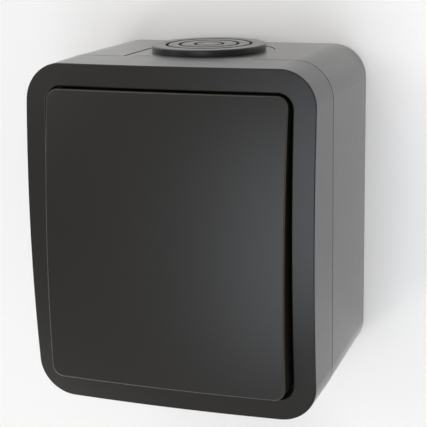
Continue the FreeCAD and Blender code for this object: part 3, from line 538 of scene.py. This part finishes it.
@dataclass
class CableEntry:
    """The plate in the notch of the box and the round rubber entry that stands on it.

    The plate closes flush with the box, so its top rises towards the seam with the same draft.
    """

    centre_depth: float = 21.5
    seam_depth: float = 38.6
    box_top: float = 43.65
    box_draft: float = 0.4
    recess: float = 0.1
    notch_half: float = 17.3
    gap: float = 0.11
    edge_round: float = 0.12
    neck_half: float = 16.15
    rebate_front: float = 36.2
    rebate_top: float = 42.75
    rebate_bottom: float = 41.05
    step_z: float = 42.57
    flange_top: float = 41.0
    flange_bottom: float = 39.7
    fall: float = 0.02
    hole_radius: float = 13.0
    hole_land: float = 1.5
    disc_radius: float = 15.1
    disc_top: float = 45.57
    disc_round: float = 0.35
    disc_draft: float = 0.06
    disc_gap: float = 0.01
    dish: float = 0.05
    middle_rows: tuple[float, ...] = (0.0, 1.2, 2.4)
    rings: tuple[float, ...] = (3.7, 7.7, 11.1)
    ring_half: float = 0.38
    ring_depth: float = 1.15
    ring_land: float = 1.6
    ring_lip: float = 0.14
    lip_fall: float = 0.6
    membrane: float = 1.7
    hollow_radius: float = 11.9
    neck_radius: float = 12.95
    lip_radius: float = 14.25
    lip_land: float = 0.5
    lip_bottom: float = 38.2
    columns: int = 144
    arc_steps: int = 48
    side_steps: int = 12
    front_steps: int = 24
    edge_steps: int = 5
    lip_steps: int = 4
    ring_steps: int = 13
    rim_steps: int = 8

    def flush(self, depth: np.ndarray) -> np.ndarray:
        """Return the height of the plate's top at a depth: the box's top there, less the recess."""
        return self.box_top + self.box_draft * depth / self.seam_depth - self.recess

    def outline(self, half: float, front: float) -> np.ndarray:
        """Sample the plate's outline: half a circle at the rear, straight sides, a straight front.

        The sides are sampled at the same depths for every row, up to that of the rebate.

        Args:
            half: half width.
            front: depth of the straight front.

        Returns:
            Places (x, depth) along the closed outline.
        """
        turn = np.linspace(0, math.pi, self.arc_steps, endpoint=False)
        side = np.linspace(0, self.rebate_front - self.centre_depth, self.side_steps)
        back = side[:0:-1]
        across = np.linspace(-half, half, self.front_steps)
        reach = np.full_like(across, front - self.centre_depth)
        x = np.concatenate([half * np.cos(turn), np.full_like(side, -half), across,
                            np.full_like(back, half)])
        depth = np.concatenate([-half * np.sin(turn), side, reach, back])
        return np.stack([x, depth + self.centre_depth], axis=-1)

    def ring(self, radius: float) -> np.ndarray:
        """Return places of a circle that stand opposite those of the plate's outline."""
        centre = (0, self.centre_depth)
        around = self.outline(self.notch_half, self.seam_depth) - centre
        return around / np.linalg.norm(around, axis=1, keepdims=True) * radius + centre

    def on_top(self, places: np.ndarray, drop: float = 0.0) -> np.ndarray:
        """Return a row of places on the plate's top, or lower by a drop."""
        height = self.flush(places[:, 1]) - drop
        return np.stack([places[:, 0], -places[:, 1], height], axis=-1)

    def level(self, places: np.ndarray, height: float) -> np.ndarray:
        """Return a row of places at one height."""
        return np.stack([places[:, 0], -places[:, 1], np.full(len(places), height)], axis=-1)

    def plate(self) -> bpy.types.Object:
        """Make the plate: a loop of rows from the hole over its top, down its side and back below.

        The round edge turns from the top to the side: inset e(1 - sin t), drop e(1 - cos t).

        Returns:
            The plate.
        """
        half, front, rebate = self.notch_half - self.gap, self.seam_depth, self.rebate_front
        rows = [self.on_top(self.ring(self.hole_radius)),
                self.on_top(self.ring(self.hole_radius + self.hole_land))]
        for t in np.linspace(0, QUARTER, self.edge_steps):
            inset, drop = self.edge_round * (1 - math.sin(t)), self.edge_round * (1 - math.cos(t))
            rows.append(self.on_top(self.outline(half - inset, front - inset), drop))
        for row_half, row_front, height in (
                (half, front, self.rebate_top),
                (half, rebate, self.rebate_top),
                (half, rebate, self.step_z),
                (self.neck_half, rebate, self.step_z - self.fall),
                (self.neck_half, rebate, self.rebate_bottom),
                (self.neck_half, front, self.rebate_bottom),
                (self.neck_half, front, self.flange_top + self.fall),
                (self.notch_half, front, self.flange_top),
                (self.notch_half, front, self.flange_bottom)):
            rows.append(self.level(self.outline(row_half, row_front), height))
        rows.append(self.level(self.ring(self.hole_radius), self.flange_bottom))
        return grid_mesh("entry_plate_flush", np.array(rows) * MM, Ends.JOINED)

    def dished(self, radius: float) -> float:
        """Return the height of the rubber entry's top, which sinks a little towards the middle."""
        return self.disc_top - self.dish * (1 - (radius / self.disc_radius) ** 2)

    def groove(self, radius: float) -> list[tuple[float, float]]:
        """Cross one ring groove, from its inner lip to its outer one.

        A lip turns from the top into the groove. At the place u in -1 to 1 across the bottom the
        depth is d(1 - u^4).

        Args:
            radius: radius of the groove's middle.

        Returns:
            Radius and height of each row.
        """
        turn = np.linspace(QUARTER, 0, self.lip_steps)[:-1]
        away = self.ring_half + self.ring_lip * np.sin(turn)
        lip = self.dished(radius) - self.ring_lip * (1 - np.sin(turn)) * self.lip_fall
        across = np.linspace(-1, 1, self.ring_steps)
        bottom = (self.dished(radius) - self.ring_lip * self.lip_fall
                  - self.ring_depth * (1 - across ** 4))
        radii = np.concatenate([radius - away, radius + across * self.ring_half,
                                radius + away[::-1]])
        return list(zip(radii, np.concatenate([lip, bottom, lip[::-1]])))

    def disc_rows(self) -> list[tuple[float, float]]:
        """Run over the rubber entry's top, from its middle to its round rim.

        Returns:
            Radius and height of each row.
        """
        rows = [(radius, self.dished(radius)) for radius in self.middle_rows]
        for radius in self.rings:
            land = radius + self.ring_land
            rows += self.groove(radius) + [(land, self.dished(land))]
        turn = np.linspace(0, QUARTER, self.rim_steps)
        return rows + list(zip(self.disc_radius - self.disc_round * (1 - np.sin(turn)),
                               self.disc_top - self.disc_round * (1 - np.cos(turn))))

    def disc(self) -> bpy.types.Object:
        """Make the rubber entry, each of its rows turned round the upright axis.

        The rows go over its top and down its wall to the plate. They go on down the neck in the
        hole, round the lip under the plate and up the hollow to below the membrane.

        Returns:
            The rubber entry.
        """
        top, ceiling = self.disc_rows(), self.disc_top - self.membrane
        foot = [(self.disc_radius - self.disc_draft, 0.0), (self.neck_radius, 0.0)]
        below = [(self.neck_radius, self.flange_bottom), (self.lip_radius, self.flange_bottom),
                 (self.lip_radius, self.flange_bottom - self.lip_land),
                 (self.neck_radius, self.lip_bottom), (self.hollow_radius, self.lip_bottom),
                 (self.hollow_radius, ceiling), (self.hollow_radius / 2, ceiling), (0.0, ceiling)]
        radius, height = (np.array(column)[:, None] for column in zip(*top, *foot, *below))
        turn = np.linspace(0, 2 * math.pi, self.columns, endpoint=False)
        x = radius * np.cos(turn)
        depth = self.centre_depth + radius * np.sin(turn)
        z = np.repeat(height, self.columns, axis=1)
        resting = slice(len(top), len(top) + len(foot))
        z[resting] = self.flush(depth[resting]) + self.disc_gap
        return grid_mesh("entry_grommet_round", np.stack([x, -depth, z], axis=-1) * MM, Ends.POLES)

    def build(self, palette: Palette) -> list[bpy.types.Object]:
        """Make both pieces in place of their solids.

        Args:
            palette: the finishes.

        Returns:
            The plate and the rubber entry.
        """
        pieces = [self.plate(), self.disc()]
        for piece, node, slot in zip(pieces, ("entry_plate", "entry_grommet"),
                                     ("housing_plastic", "entry_rubber")):
            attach(palette.dress_piece(piece, slot), "housing")
            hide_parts(node)
        return pieces


@dataclass
class ToggleSpring:
    """The coil spring between the plunger and the carrier.

    It stands along the plunger's path, which leans with the rocker.
    """

    pivot_depth: float = 44.5
    tilt: float = 3.15
    rear_depth: float = 33.08
    front_depth: float = 41.48
    radius: float = 1.95
    wire: float = 0.25
    turns: float = 7.0
    end_turns: float = 1.0
    stroke: float = 0.5
    steps: int = 24
    columns: int = 12

    def axis(self) -> np.ndarray:
        """Return the unit direction of the spring towards the front."""
        lean = math.radians(self.tilt)
        return np.array([0.0, -math.cos(lean), math.sin(lean)])

    def on_axis(self, depth: float) -> np.ndarray:
        """Return the place on the spring's axis that stands at a depth when the rocker is level."""
        return np.array([0.0, -self.pivot_depth, 0.0]) + self.axis() * (depth - self.pivot_depth)

    def path(self) -> tuple[np.ndarray, np.ndarray]:
        """Follow the middle of the wire: a helix along an upright axis.

        The rise per turn grows from the wire's thickness in the closed end coils to that of the
        open coils by a smooth step, which is one end's length and starts half of it in.

        Returns:
            Places along the wire, and the unit direction away from the axis at each.
        """
        turn = np.linspace(0, self.turns, int(self.turns * self.steps) + 1)
        rise = smooth_step(np.minimum(turn, self.turns - turn) / self.end_turns - 0.5)
        climb = np.concatenate([[0.0], np.cumsum((rise[1:] + rise[:-1]) / 2 * np.diff(turn))])
        length = self.front_depth - self.rear_depth - 2 * self.wire
        closed = 2 * self.wire * turn
        height = self.wire + closed + climb / climb[-1] * (length - closed[-1])
        angle = 2 * math.pi * turn
        away = np.stack([np.cos(angle), np.sin(angle), np.zeros_like(angle)], axis=-1)
        return self.radius * away + height[:, None] * (0.0, 0.0, 1.0), away

    def coil(self) -> bpy.types.Object:
        """Make the wire: a round tube along its path, turned to the spring's axis.

        A place of the tube is the path's plus w(N cos p + B sin p), with N the direction away from
        the axis and B square to N and to the wire.

        Returns:
            The spring.
        """
        path, away = self.path()
        along = np.gradient(path, axis=0)
        along /= np.linalg.norm(along, axis=1, keepdims=True)
        across = np.cross(along, away)
        around = np.linspace(0, 2 * math.pi, self.columns, endpoint=False)[None, :, None]
        tube = path[:, None] + self.wire * (away[:, None] * np.cos(around)
                                            + across[:, None] * np.sin(around))
        caps = np.repeat(path[[0, -1], None], self.columns, axis=1)
        upright = np.concatenate([caps[:1], tube, caps[1:]])
        front, side = self.axis(), np.array([1.0, 0.0, 0.0])
        turned = upright @ np.stack([side, np.cross(front, side), front])
        return grid_mesh("toggle_spring_coil", (turned + self.on_axis(self.rear_depth)) * MM,
                         Ends.POLES)

    def build(self, palette: Palette) -> bpy.types.Object:
        """Make the spring in place of its solid, on the rocker.

        Args:
            palette: the finishes.

        Returns:
            The spring.
        """
        piece = palette.dress_piece(self.coil(), "spring_steel")
        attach(piece, "rocker")
        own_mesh(piece)
        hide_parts("toggle_spring")
        return piece


@dataclass
class RockerBoot:
    """The rubber boot between the recess floor and the carrier's neck.

    Its flat skin lies on the floor. A sleeve stands up round the neck.
    """

    pivot_depth: float = 44.5
    tilt: float = 3.15
    rear: float = 47.5
    skin_front: float = 48.1
    front: float = 49.7
    rigid_depth: float = 49.6
    flange_half_x: float = 19.6
    flange_half_z: float = 22.6
    flange_corner: float = 5.5
    neck_half_x: float = 9.0
    neck_half_z: float = 6.0
    clearance: float = 0.1
    play: float = 0.42
    wall: float = 0.6
    hole_corner: float = 0.2
    round: float = 0.25
    round_steps: int = 5
    sleeve_rows: int = 9

    def hole(self, depth: np.ndarray) -> tuple[np.ndarray, np.ndarray]:
        """Measure the sleeve's inside.

        Above, it follows the leaning neck. Below, it also leaves room for the neck's swing where it
        doesn't bend along: that room is the play times one less the share with which it bends.

        Args:
            depth: depths of the rows.

        Returns:
            Heights of the upper and the lower side.
        """
        lean = math.radians(self.tilt)
        middle = (depth - self.pivot_depth) * math.tan(lean)
        half = self.neck_half_z / math.cos(lean) + self.clearance
        bent = smooth_step((depth - self.skin_front) / (self.rigid_depth - self.skin_front))
        return middle + half, middle - half - self.play * (1 - bent)

    def skin(self) -> bpy.types.Object:
        """Make the boot as a loop of rows, each a rectangle with round corners.

        The rows go up the sleeve's inside and down its outside, round into the skin, out over it
        with a round rim and back along its underside.

        Returns:
            The boot.
        """
        up = np.linspace(self.rear, self.front, self.sleeve_rows)
        down = np.linspace(self.front, self.skin_front + self.round, self.sleeve_rows)
        turn = np.linspace(0, QUARTER, self.round_steps)
        inset, fall = self.round * (1 - np.sin(turn)), self.round * (1 - np.cos(turn))
        sleeve = np.concatenate([up, down, self.skin_front + inset[1:]])
        grown = np.concatenate([np.zeros_like(up), np.full_like(down, self.wall),
                                self.wall + fall[1:]])
        above, below = self.hole(sleeve)
        depth = np.concatenate([sleeve, self.skin_front - fall, [self.rear]])
        inset = np.append(inset, 0.0)
        half_x = np.concatenate([self.neck_half_x + self.clearance + grown,
                                 self.flange_half_x - inset])
        half_z = np.concatenate([(above - below) / 2 + grown, self.flange_half_z - inset])
        corner = np.concatenate([self.hole_corner + grown, self.flange_corner - inset])
        shift = np.concatenate([(above + below) / 2, np.zeros_like(inset)])
        x, z = Outline(arc_steps=8, side_steps=8).places(half_x, half_z, corner)
        y = np.repeat(-depth[:, None], x.shape[1], axis=1)
        return grid_mesh("rocker_boot_sleeve", np.stack([x, y, z + shift[:, None]], axis=-1) * MM,
                         Ends.JOINED)

    def build(self, palette: Palette) -> bpy.types.Object:
        """Make the boot in place of its solid.

        Args:
            palette: the finishes.

        Returns:
            The boot.
        """
        piece = palette.dress_piece(self.skin(), "seal_rubber")
        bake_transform(piece)
        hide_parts("rocker_boot")
        return piece


@dataclass(frozen=True)
class Lamp:
    """A soft square lamp that faces the switch, hidden from the camera."""

    name: str
    azimuth: float
    elevation: float
    lux: float
    size: float
    distance: float = 1.2
    colour: Colour = WHITE

    def hang(self) -> None:
        """Make the lamp, with the power that gives a surface facing it at the switch its light."""
        round_z, up = math.radians(self.azimuth), math.radians(self.elevation)
        away = Vector((math.sin(round_z) * math.cos(up), -math.cos(round_z) * math.cos(up),
                       math.sin(up)))
        light = bpy.data.lights.new(self.name, "AREA")
        light.size = self.size
        light.energy = self.lux * math.pi * self.distance ** 2
        light.color = self.colour
        made = put(self.name, light)
        made.location = away * self.distance
        made.rotation_mode = "QUATERNION"
        made.rotation_quaternion = away.to_track_quat("Z", "Y")
        made.visible_camera = False


@dataclass(frozen=True)
class PalePaint:
    """Plain pale paint of the studio, with brightness that only the camera or a gloss sees.

    The glow is added where the camera sees it, and the shine where a gloss or a clear piece does,
    with the near shine, light painted on the wall close round the switch, on top of that. The
    painted shade is the share of the colour that the camera loses to the left of the switch and
    below it.
    """

    colour: Colour
    glow: float
    shine: float
    # painted light: the wall seen paler in glosses close round the switch
    near_shine: float = 0.0
    near_reach: float = 0.009
    # painted shade: share of the wall's colour the camera loses left of and below the switch
    painted_shade: float = 0.0
    left_band: tuple[float, float] = (-0.02, -0.042)
    low_band: tuple[float, float] = (-0.03, -0.06)
    cloud: float = 0.015
    cloud_size: float = 0.15
    rough: float = 0.85
    specular: float = 0.2
    clear_behind: bool = False

    def painted_shade_mask(self, r: Recipe) -> Socket:
        """Return a mask of painted shade that grows over the bands left of and below the switch."""
        place = r.node("ShaderNodeSeparateXYZ", None, {0: r.place()}).outputs
        left = r.spread(place["X"], 0.0, 1.0, *self.left_band)
        below = r.spread(r.maths("ADD", place["X"], place["Z"]), 0.0, 1.0, *self.low_band)
        return r.maths("MAXIMUM", left, below)

    def closeness(self, r: Recipe, half_x: float, half_z: float) -> Socket:
        """Measure how close a place is to the switch.

        Args:
            r: the material's recipe.
            half_x: half width of the switch's outline on the wall.
            half_z: its half height.

        Returns:
            A mask that fades from 1 at the outline to 0 at the reach.
        """
        place = r.node("ShaderNodeSeparateXYZ", None, {0: r.place()}).outputs
        beside = r.maths("SUBTRACT", r.maths("ABSOLUTE", place["X"]), half_x)
        above = r.maths("SUBTRACT", r.maths("ABSOLUTE", place["Z"]), half_z)
        return r.spread(r.maths("MAXIMUM", beside, above), 1.0, 0.0, 0.0, self.near_reach)

    def material(self, name: str, half_x: float, half_z: float) -> bpy.types.Material:
        """Build the paint.

        Args:
            name: name of the material.
            half_x: half width of the switch's outline on the wall.
            half_z: its half height.

        Returns:
            The material.
        """
        r = Recipe(bpy.data.materials.new(name))
        path = r.node("ShaderNodeLightPath").outputs
        seen = path["Is Camera Ray"]
        mirrored = r.maths("MAXIMUM", path["Is Glossy Ray"], path["Is Transmission Ray"])
        # painted shade: the camera sees the wall darker to the left of the switch and below it
        lost = r.maths("MULTIPLY", r.maths("MULTIPLY", self.painted_shade_mask(r), seen), self.painted_shade)
        cloud = r.spread(r.noise(self.cloud_size, detail=3.0), 1.0 - self.cloud, 1.0)
        tone = r.maths("MULTIPLY", cloud, r.maths("SUBTRACT", 1.0, lost))
        # painted light: extra brightness on the wall close round the switch, seen only in glosses
        close = r.maths("MULTIPLY", self.closeness(r, half_x, half_z), self.near_shine)
        gloss = r.maths("MULTIPLY", mirrored, r.maths("ADD", close, self.shine))
        added = r.maths("ADD", r.maths("MULTIPLY", seen, self.glow), gloss)
        surface = r.node("ShaderNodeBsdfPrincipled", None, {
            "Base Color": r.shade(self.colour, tone), "Roughness": self.rough,
            "Specular IOR Level": self.specular, "Emission Color": (*WHITE, 1.0),
            "Emission Strength": added}).outputs["BSDF"]
        if self.clear_behind:
            clear = r.node("ShaderNodeBsdfTransparent").outputs["BSDF"]
            behind = r.node("ShaderNodeNewGeometry").outputs["Backfacing"]
            surface = r.node("ShaderNodeMixShader", None,
                             {0: behind, 1: surface, 2: clear}).outputs["Shader"]
        return r.close(surface)


@dataclass
class Studio:
    """White wall with a hole behind the switch, pale floor, soft lamps and camera, in metres."""

    wall_half: float = 2.2
    wall_gap: float = 0.00005
    wall_rows: tuple[float, ...] = (0.0, 0.02, 0.1, 1.0)
    hole_half_x: float = 0.03725
    hole_half_z: float = 0.04355
    hole_corner: float = 0.0094
    corner_growth: float = 0.1
    floor_z: float = -1.1
    floor_half: float = 30.0
    floor_cells: int = 8
    # the wall carries painted shade left of and below the switch, and painted light close round it
    wall_paint: PalePaint = PalePaint((0.93, 0.897, 0.862), 0.12, 0.17, near_shine=0.22,
                                      painted_shade=0.14, clear_behind=True)
    floor_paint: PalePaint = PalePaint((0.82, 0.82, 0.81), 0.16, 0.16)
    world_level: float = 0.42
    world_shine: float = 0.13
    camera_place: tuple[float, float, float] = (0.10902, -0.32994, 0.08315)
    camera_right: tuple[float, float, float] = (0.9446, 0.3277, -0.0197)
    camera_forward: tuple[float, float, float] = (-0.3221, 0.9136, -0.2480)
    lens: float = 104.64
    sensor: float = 36.0
    nearest: float = 0.01
    lamps: tuple[Lamp, ...] = (
        Lamp("key_lamp", 4.0, -8.0, 1.61, size=0.65, colour=(0.84, 0.905, 1.0)),
        Lamp("low_lamp", -62.0, -42.0, 0.65, size=0.3),
        Lamp("left_lamp", -50.0, 20.0, 0.5, size=0.6),
        Lamp("top_lamp", -40.0, 55.0, 0.45, size=0.6),
    )

    def wall(self) -> bpy.types.Object:
        """Make the wall: rows of outlines that grow from the hole behind the box to its rim.

        Returns:
            The wall, which faces the room and ends at the floor.
        """
        grown = np.array(self.wall_rows) * self.wall_half
        x, z = Outline(arc_steps=8, side_steps=2).places(
            self.hole_half_x + grown, self.hole_half_z + grown,
            self.hole_corner + grown * self.corner_growth)
        z = np.maximum(z, self.floor_z)
        grid = np.stack([x, np.full_like(x, self.wall_gap), z], axis=-1)
        piece = grid_mesh("studio_wall", grid, Ends.OPEN)
        if piece.data.polygons[0].normal.y > 0:
            piece.data.flip_normals()
        return piece

    def floor(self) -> bpy.types.Object:
        """Make the floor: a flat square grid well below the switch.

        Returns:
            The floor.
        """
        side = np.linspace(-self.floor_half, self.floor_half, self.floor_cells + 1)
        x, y = np.meshgrid(side, side)
        places = np.stack([x, y, np.full_like(x, self.floor_z)], axis=-1).reshape(-1, 3)
        cell = np.arange(self.floor_cells)
        first = (cell[:, None] * len(side) + cell).ravel()
        faces = np.stack([first, first + 1, first + len(side) + 1, first + len(side)], axis=-1)
        mesh = bpy.data.meshes.new("studio_floor")
        mesh.from_pydata(places.tolist(), [], faces.tolist())
        return put("studio_floor", mesh)

    def world(self) -> None:
        """Light the room evenly from all sides, a little paler where it is seen or mirrored."""
        room = bpy.data.worlds.new("studio_room")
        r = Recipe(room)
        path = r.node("ShaderNodeLightPath").outputs
        mirrored = r.maths("MAXIMUM", path["Is Glossy Ray"], path["Is Transmission Ray"])
        seen = r.maths("MAXIMUM", path["Is Camera Ray"], mirrored)
        level = r.maths("ADD", r.maths("MULTIPLY", seen, self.world_shine), self.world_level)
        light = r.node("ShaderNodeBackground", None, {"Color": (*WHITE, 1.0), "Strength": level})
        r.node("ShaderNodeOutputWorld", None, {"Surface": light.outputs["Background"]})
        bpy.context.scene.world = room

    def camera(self) -> None:
        """Place the camera by its place, its level direction to the right and its line of sight."""
        data = bpy.data.cameras.new("camera")
        data.sensor_width = self.sensor
        data.lens = self.lens
        data.clip_start = self.nearest
        camera = put("camera", data)
        forward = Vector(self.camera_forward).normalized()
        right = Vector(self.camera_right)
        right = (right - forward * right.dot(forward)).normalized()
        turn = Matrix((right, right.cross(forward), -forward)).transposed()
        camera.rotation_mode = "QUATERNION"
        camera.rotation_quaternion = turn.to_quaternion()
        camera.location = self.camera_place
        bpy.context.scene.camera = camera

    def build(self) -> None:
        """Set the whole studio up."""
        wall, floor = self.wall(), self.floor()
        for piece, name, paint in ((wall, "wall_paint", self.wall_paint),
                                   (floor, "floor_paint", self.floor_paint)):
            piece.data.materials.append(paint.material(name, self.hole_half_x, self.hole_half_z))
        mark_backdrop(wall, floor)
        for lamp in self.lamps:
            lamp.hang()
        self.world()
        self.camera()
        bpy.context.scene.view_settings.view_transform = "Standard"


@dataclass
class SizeReport:
    """The box of the solids, measured before they are dressed."""

    solids: list[list[float]] = field(default_factory=list)

    def start(self) -> None:
        """Measure the solids."""
        self.solids = [list(corner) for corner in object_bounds()]

    def write(self) -> None:
        """Do nothing: the dressed part is not measured."""


def main() -> None:
    """Dress the solids, build the finer pieces and set up the studio."""
    logging.basicConfig(level=logging.INFO, format="%(message)s")
    sizes = SizeReport()
    sizes.start()
    palette = Palette(FINISHES)
    for name, node in sorted(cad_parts.items()):
        log.info("dressed %s in %s", name, palette.dress_node(node))
    pieces = CableEntry().build(palette)
    pieces += [ToggleSpring().build(palette), RockerBoot().build(palette)]
    for piece in pieces:
        log.info("built %s with %d faces", piece.name, len(piece.data.polygons))
    Studio().build()
    sizes.write()


if __name__ == "__main__":
    main()
